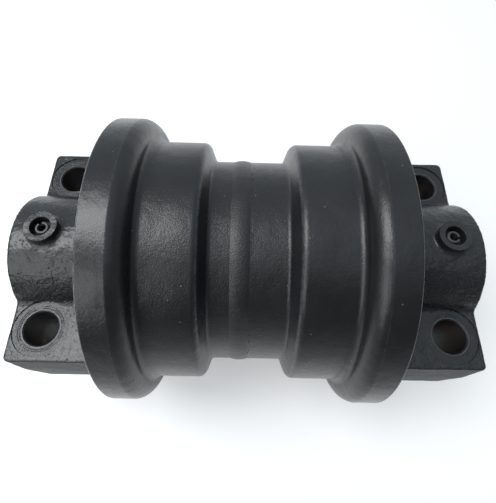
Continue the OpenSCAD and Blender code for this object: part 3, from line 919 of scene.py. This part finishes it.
def axle_cutter(sizes, side):
    """Bore for the axle, bore for its journal and the recess for the static seal."""
    bm = bmesh.new()
    outline = [
        (0, sizes.nose - 2 * MM), (sizes.journal_bore, sizes.nose - 2 * MM),
        (sizes.journal_bore, sizes.journal_end), (sizes.axle_bore, sizes.journal_end),
        (sizes.axle_bore, sizes.end - 1 * MM),
        (sizes.axle_bore + 2 * MM, sizes.end + 1 * MM), (0, sizes.end + 1 * MM),
    ]
    turned(bm, outline, BORE_STEPS, closed=False, flip=side, material_index=BORE)
    ring = [
        (sizes.nose_radius, sizes.hub_start - 2 * MM), (sizes.seal_bore, sizes.hub_start - 2 * MM),
        (sizes.seal_bore, sizes.seal_depth), (sizes.nose_radius, sizes.seal_depth),
    ]
    turned(bm, ring, BORE_STEPS, flip=side, material_index=BORE)
    return bm


def hole_cutter(sizes, pins, side):
    """Two bolt holes with their chamfers and seats, and the lock pin's hole with its recess."""
    bm = bmesh.new()
    below = sizes.mount_face - 6 * MM
    above = sizes.boss_radius + 10 * MM
    seat = sizes.ear_top - sizes.seat_depth
    hole = sizes.bolt_radius
    chamfer = sizes.hole_chamfer
    for across in (-sizes.bolt_across, sizes.bolt_across):
        centre = (across, side * sizes.bolt_along)
        shank = [
            (0, below), (hole + 0.5 * MM, below), (hole + 0.5 * MM, sizes.mount_face),
            (hole, sizes.mount_face + 0.5 * MM), (hole, seat - chamfer), (hole + chamfer, seat),
            (sizes.seat_radius, seat), (sizes.seat_radius, above), (0, above),
        ]
        upright(bm, shank, centre, BOLT_HOLE_STEPS, SEAT)
        for face in bm.faces:
            middle = face.calc_center_median()
            if (middle - Vector((*centre, middle.z))).length < hole + chamfer and middle.z < seat - 0.01 * MM:
                face.material_index = BORE
    top = sizes.pin_boss_top
    floor = top - sizes.counterbore_depth
    pin_hole = pins.radius + 0.02 * MM
    recess = [
        (0, below), (pin_hole, below), (pin_hole, floor), (sizes.counterbore, floor),
        (sizes.counterbore, top - 0.2 * MM), (sizes.counterbore + 0.2 * MM, top),
        (sizes.pin_boss_radius + 4 * MM, top), (sizes.pin_boss_radius + 4 * MM, above), (0, above),
    ]
    whole = set(bm.faces)
    upright(bm, recess, (0, side * pins.along), PIN_BOSS_STEPS, BORE)
    for face in bm.faces:
        if face not in whole and abs(face.calc_center_median().z - top) < 0.01 * MM:
            face.material_index = CAST
    return bm


def box_cutter(low, high, material_index):
    """A plain box between two corners."""
    bm = bmesh.new()
    middle = (low + high) / 2
    shape = Matrix.Translation(middle) @ Matrix.Diagonal((*(high - low), 1))
    bmesh.ops.create_cube(bm, size=1, matrix=shape)
    for face in bm.faces:
        face.material_index = material_index
    return bm


class TRACK_ROLLER_OT_collars(bpy.types.Operator):
    """Casts the two collars as one skin each, then bores, drills and faces them"""

    bl_idname = "track_roller.collars"
    bl_label = "Collars"

    def execute(self, context):
        sizes = context.scene.collar_sizes
        pins = context.scene.pin_sizes
        finishes = [material(name) for name in ("casting_paint", "seat_paint", "bore_paint", "faced_paint")]
        for side in (LEFT, RIGHT):
            name = SIDE_NAMES[side]
            bm = bmesh.new()
            ears_blank(bm, sizes, side)
            turned(bm, hub_outline(sizes), HUB_STEPS, closed=False, flip=side)
            foot = sizes.boss_radius - 3.3 * MM
            wall = sizes.pin_boss_radius + 0.15 * MM
            boss = [(0, 0), (wall + 3.4 * MM, 0), (wall + 3.4 * MM, foot - 1 * MM)]
            boss += arc((wall + 3 * MM, foot + 3 * MM), 3 * MM, 1.5 * math.pi, math.pi, 6)
            spare = sizes.pin_boss_top + 2.5 * MM
            boss += [(wall, spare), (0, spare)]
            upright(bm, boss, (0, side * pins.along), PIN_BOSS_STEPS)
            close_up(bm)
            piece = add_object(bm, "collar_casting_" + name, finishes)
            skin = piece.modifiers.new("skin", "REMESH")
            skin.mode = "VOXEL"
            skin.voxel_size = sizes.voxel
            settle(piece)

            bm = bmesh.new()
            bm.from_mesh(piece.data)
            for _ in range(3):
                bmesh.ops.smooth_vert(
                    bm, verts=bm.verts, factor=0.5, use_axis_x=True, use_axis_y=True, use_axis_z=True)
            roughen(bm, side)
            for face in bm.faces:
                face.material_index = CAST
            for vert in bm.verts:
                vert.co.y = side * min(side * vert.co.y, sizes.end)
            bm.to_mesh(piece.data)
            bm.free()

            cut_out(piece, axle_cutter(sizes, side))
            cut_out(piece, hole_cutter(sizes, pins, side))
            near, far = sorted((side * (sizes.ear_start - MM), side * (sizes.end + MM)))
            wide = sizes.ear_half_foot + MM
            face_z = sizes.mount_face
            half = sizes.relief_half
            ceiling = face_z + sizes.relief_depth
            for low, high in (
                ((-wide, near, face_z - 6 * MM), (wide, far, face_z)),
                ((-half, near, face_z - MM), (half, far, ceiling)),
            ):
                cut_out(piece, box_cutter(Vector(low), Vector(high), FACED))
            shade(piece, SHARP, SHARP_CAST)
            attach(piece, "axle_and_collars", "collar_" + name)
        return {"FINISHED"}


class TRACK_ROLLER_OT_lock_pins(bpy.types.Operator):
    """Rolls the two slotted spring pins"""

    bl_idname = "track_roller.lock_pins"
    bl_label = "Lock pins"

    def execute(self, context):
        sizes = context.scene.pin_sizes
        chamfer = 0.45 * MM
        inner = sizes.radius - sizes.wall
        gap = 2 * math.asin(sizes.slot / 2 / (sizes.radius - sizes.wall / 2))
        for side, facing in ((LEFT, sizes.left_slot), (RIGHT, sizes.right_slot)):
            wall = [
                (inner, sizes.low), (sizes.radius - chamfer, sizes.low), (sizes.radius, sizes.low + chamfer),
                (sizes.radius, sizes.high - chamfer), (sizes.radius - chamfer, sizes.high),
                (inner + chamfer / 2, sizes.high), (inner, sizes.high - chamfer / 2),
            ]
            bm = bmesh.new()
            verts = [bm.verts.new((radius, 0, up)) for radius, up in wall]
            face = bm.faces.new(verts)
            bmesh.ops.spin(
                bm, geom=[face, *face.edges, *verts], cent=(0, 0, 0), axis=(0, 0, 1), dvec=(0, 0, 0),
                angle=math.tau - gap, steps=PIN_STEPS, use_merge=False, use_duplicate=False)
            bmesh.ops.rotate(
                bm, verts=bm.verts, cent=(0, 0, 0), matrix=Matrix.Rotation(facing + gap / 2, 3, "Z"))
            bmesh.ops.translate(bm, verts=bm.verts, vec=(0, side * sizes.along, 0))
            close_up(bm)
            piece = add_object(bm, "spring_pin_" + SIDE_NAMES[side], [material("pin_steel")])
            shade(piece, SHARP)
            attach(piece, "axle_and_collars", "lock_pin_" + SIDE_NAMES[side])
        return {"FINISHED"}


class TRACK_ROLLER_OT_oil_plug(bpy.types.Operator):
    """Turns the oil plug and sinks its hexagon socket"""

    bl_idname = "track_roller.oil_plug"
    bl_label = "Oil plug"

    def execute(self, context):
        sizes = context.scene.pin_sizes
        chamfer = 0.7 * MM
        shoulder = sizes.plug_face + sizes.plug_head_depth
        outline = [
            (0, sizes.plug_face), (sizes.plug_head - chamfer, sizes.plug_face),
            (sizes.plug_head, sizes.plug_face + chamfer), (sizes.plug_head, shoulder),
            (sizes.plug_shank, shoulder), (sizes.plug_shank, sizes.plug_end - chamfer),
            (sizes.plug_shank - chamfer, sizes.plug_end),
            (0, sizes.plug_end),
        ]
        bm = bmesh.new()
        turned(bm, outline, PIN_STEPS, closed=False)
        close_up(bm)
        bmesh.ops.translate(bm, verts=bm.verts, vec=(sizes.plug_across, 0, 0))
        piece = add_object(bm, "filler_plug", [material("pin_steel")])
        cutter = bmesh.new()
        reach = sizes.plug_hex_depth * 2
        mouth = Matrix.Translation((sizes.plug_across, sizes.plug_face, 0))
        socket = mouth @ Matrix.Rotation(math.pi / 2, 4, "X")
        bmesh.ops.create_cone(
            cutter, cap_ends=True, segments=6, radius1=sizes.plug_hex, radius2=sizes.plug_hex, depth=reach,
            matrix=socket)
        cut_out(piece, cutter)
        shade(piece, SHARP)
        attach(piece, "axle_and_collars", "oil_plug")
        return {"FINISHED"}


class TRACK_ROLLER_OT_inner_parts(bpy.types.Operator):
    """Gives the axle, bushings, face seals and rubber rings their finishes"""

    bl_idname = "track_roller.inner_parts"
    bl_label = "Inner parts"

    def execute(self, context):
        starts = {
            "axle_shaft": "ground_steel", "bushing": "bronze", "seal_ring": "seal_iron", "toric": "rubber",
            "shaft_oring": "rubber", "oil_plug_seal": "rubber",
        }
        for name, node in frame["nodes"].items():
            for start, finish in starts.items():
                if name.startswith(start):
                    node.data.materials.clear()
                    node.data.materials.append(material(finish))
        return {"FINISHED"}


class TRACK_ROLLER_OT_stage(bpy.types.Operator):
    """Sets up the floor, the soft light and the camera"""

    bl_idname = "track_roller.stage"
    bl_label = "Stage"

    def execute(self, context):
        scene = context.scene
        studio = scene.studio_settings
        scene.view_settings.view_transform = "Standard"

        bm = bmesh.new()
        floor_z = CAD_BOX[0][2]
        bmesh.ops.create_grid(
            bm, x_segments=1, y_segments=1, size=FLOOR_HALF, matrix=Matrix.Translation((0, 0, floor_z)))
        pale = Finish(bpy.data.materials.new("floor"))
        vector, x, _, _ = pale.axes()
        # Painted shade: from x 0.1 m to 0.4 m the floor turns darker and glows less, a dark patch that
        # darkens its reflection in the lower treads
        away = x.rise(0.10, 0.40)
        tone = pale.tint(pale.cloud(vector, 2.0, 2.0, 0.5), (0.78, 0.78, 0.78), (0.82, 0.82, 0.82))
        tone = pale.tint(away, tone, (0.44, 0.44, 0.44))
        glow = pale.tint(away, (1.0, 1.0, 1.0), (0.2, 0.2, 0.2))
        pale.surface(Base_Color=tone, Roughness=0.9, Emission_Color=glow, Emission_Strength=studio.floor_glow)
        add_object(bm, "floor", [pale.owner])

        world = Finish(bpy.data.worlds.new("surroundings"))
        scene.world = world.owner
        _, x, _, z = world.axes("Generated")
        around = studio.sky_front + (1 - x.rise(-0.9, 0.9)) * (studio.sky_back - studio.sky_front)
        overhead = z.rise(0.70, 1.0)
        strength = around * (1 - overhead) + overhead * studio.sky_top
        background = world.node(
            "ShaderNodeBackground", sockets={"Color": (*studio.sky, 1.0), "Strength": strength})
        world.node("ShaderNodeOutputWorld", sockets={"Surface": background.outputs[0]})

        for name, power, width, length, direction in (
            ("key", studio.key_power, studio.key_width, studio.key_length, studio.key_from),
            ("side", studio.fill_power, studio.fill_size, studio.fill_size, studio.fill_from),
        ):
            light = bpy.data.lights.new(name, "AREA")
            light.shape = "RECTANGLE"
            light.size = width
            light.size_y = length
            light.energy = power
            lamp = bpy.data.objects.new(name, light)
            lamp.location = Vector(direction).normalized() * studio.light_away
            lamp.rotation_euler = lamp.location.to_track_quat("Z", "Y").to_euler()
            scene.collection.objects.link(lamp)

        low, high = math.cos(studio.elevation), math.sin(studio.elevation)
        across = Vector((0, 1, 0))
        forward = Vector((-low, 0, -high))
        up = Vector((-high, 0, low))
        across, forward = (
            across * math.cos(studio.yaw) - forward * math.sin(studio.yaw),
            across * math.sin(studio.yaw) + forward * math.cos(studio.yaw))
        across, up = (
            across * math.cos(studio.roll) + up * math.sin(studio.roll),
            up * math.cos(studio.roll) - across * math.sin(studio.roll))
        lens = bpy.data.cameras.new("camera")
        lens.lens = studio.lens
        lens.sensor_width = SENSOR_WIDTH
        lens.clip_start = 0.01
        camera = bpy.data.objects.new("camera", lens)
        turn = Matrix((across, up, -forward)).transposed().to_4x4()
        camera.matrix_world = Matrix.Translation(studio.camera) @ turn
        scene.collection.objects.link(camera)
        scene.camera = camera
        return {"FINISHED"}


class TRACK_ROLLER_PT_sidebar(bpy.types.Panel):
    """Lists the sizes, finishes and steps of the track roller"""

    bl_idname = "TRACK_ROLLER_PT_sidebar"
    bl_label = "Track roller"
    bl_space_type = "VIEW_3D"
    bl_region_type = "UI"
    bl_category = "Track roller"

    def draw(self, context):
        layout = self.layout
        for step in STEPS:
            layout.operator(step.bl_idname)
        for group in GROUPS:
            box = layout.box()
            box.label(text=GROUPS[group].__doc__)
            owner = getattr(context.scene, group)
            for name in GROUPS[group].__annotations__:
                box.prop(owner, name)


GROUPS = {
    "shell_sizes": ShellSizes,
    "collar_sizes": CollarSizes,
    "pin_sizes": PinSizes,
    "finish_colours": FinishColours,
    "studio_settings": StudioSettings,
}
STEPS = (
    TRACK_ROLLER_OT_shell_halves,
    TRACK_ROLLER_OT_weld,
    TRACK_ROLLER_OT_collars,
    TRACK_ROLLER_OT_lock_pins,
    TRACK_ROLLER_OT_oil_plug,
    TRACK_ROLLER_OT_inner_parts,
    TRACK_ROLLER_OT_stage,
)


def register():
    for kind in (*GROUPS.values(), *STEPS, TRACK_ROLLER_PT_sidebar):
        bpy.utils.register_class(kind)
    for name, kind in GROUPS.items():
        setattr(bpy.types.Scene, name, PointerProperty(type=kind))


def unregister():
    for name in GROUPS:
        delattr(bpy.types.Scene, name)
    for kind in reversed((*GROUPS.values(), *STEPS, TRACK_ROLLER_PT_sidebar)):
        bpy.utils.unregister_class(kind)


def main():
    register()
    bpy.ops.track_roller.shell_halves()
    bpy.ops.track_roller.weld()
    bpy.ops.track_roller.collars()
    bpy.ops.track_roller.lock_pins()
    bpy.ops.track_roller.oil_plug()
    bpy.ops.track_roller.inner_parts()
    bpy.ops.track_roller.stage()


if __name__ == "__main__":
    main()
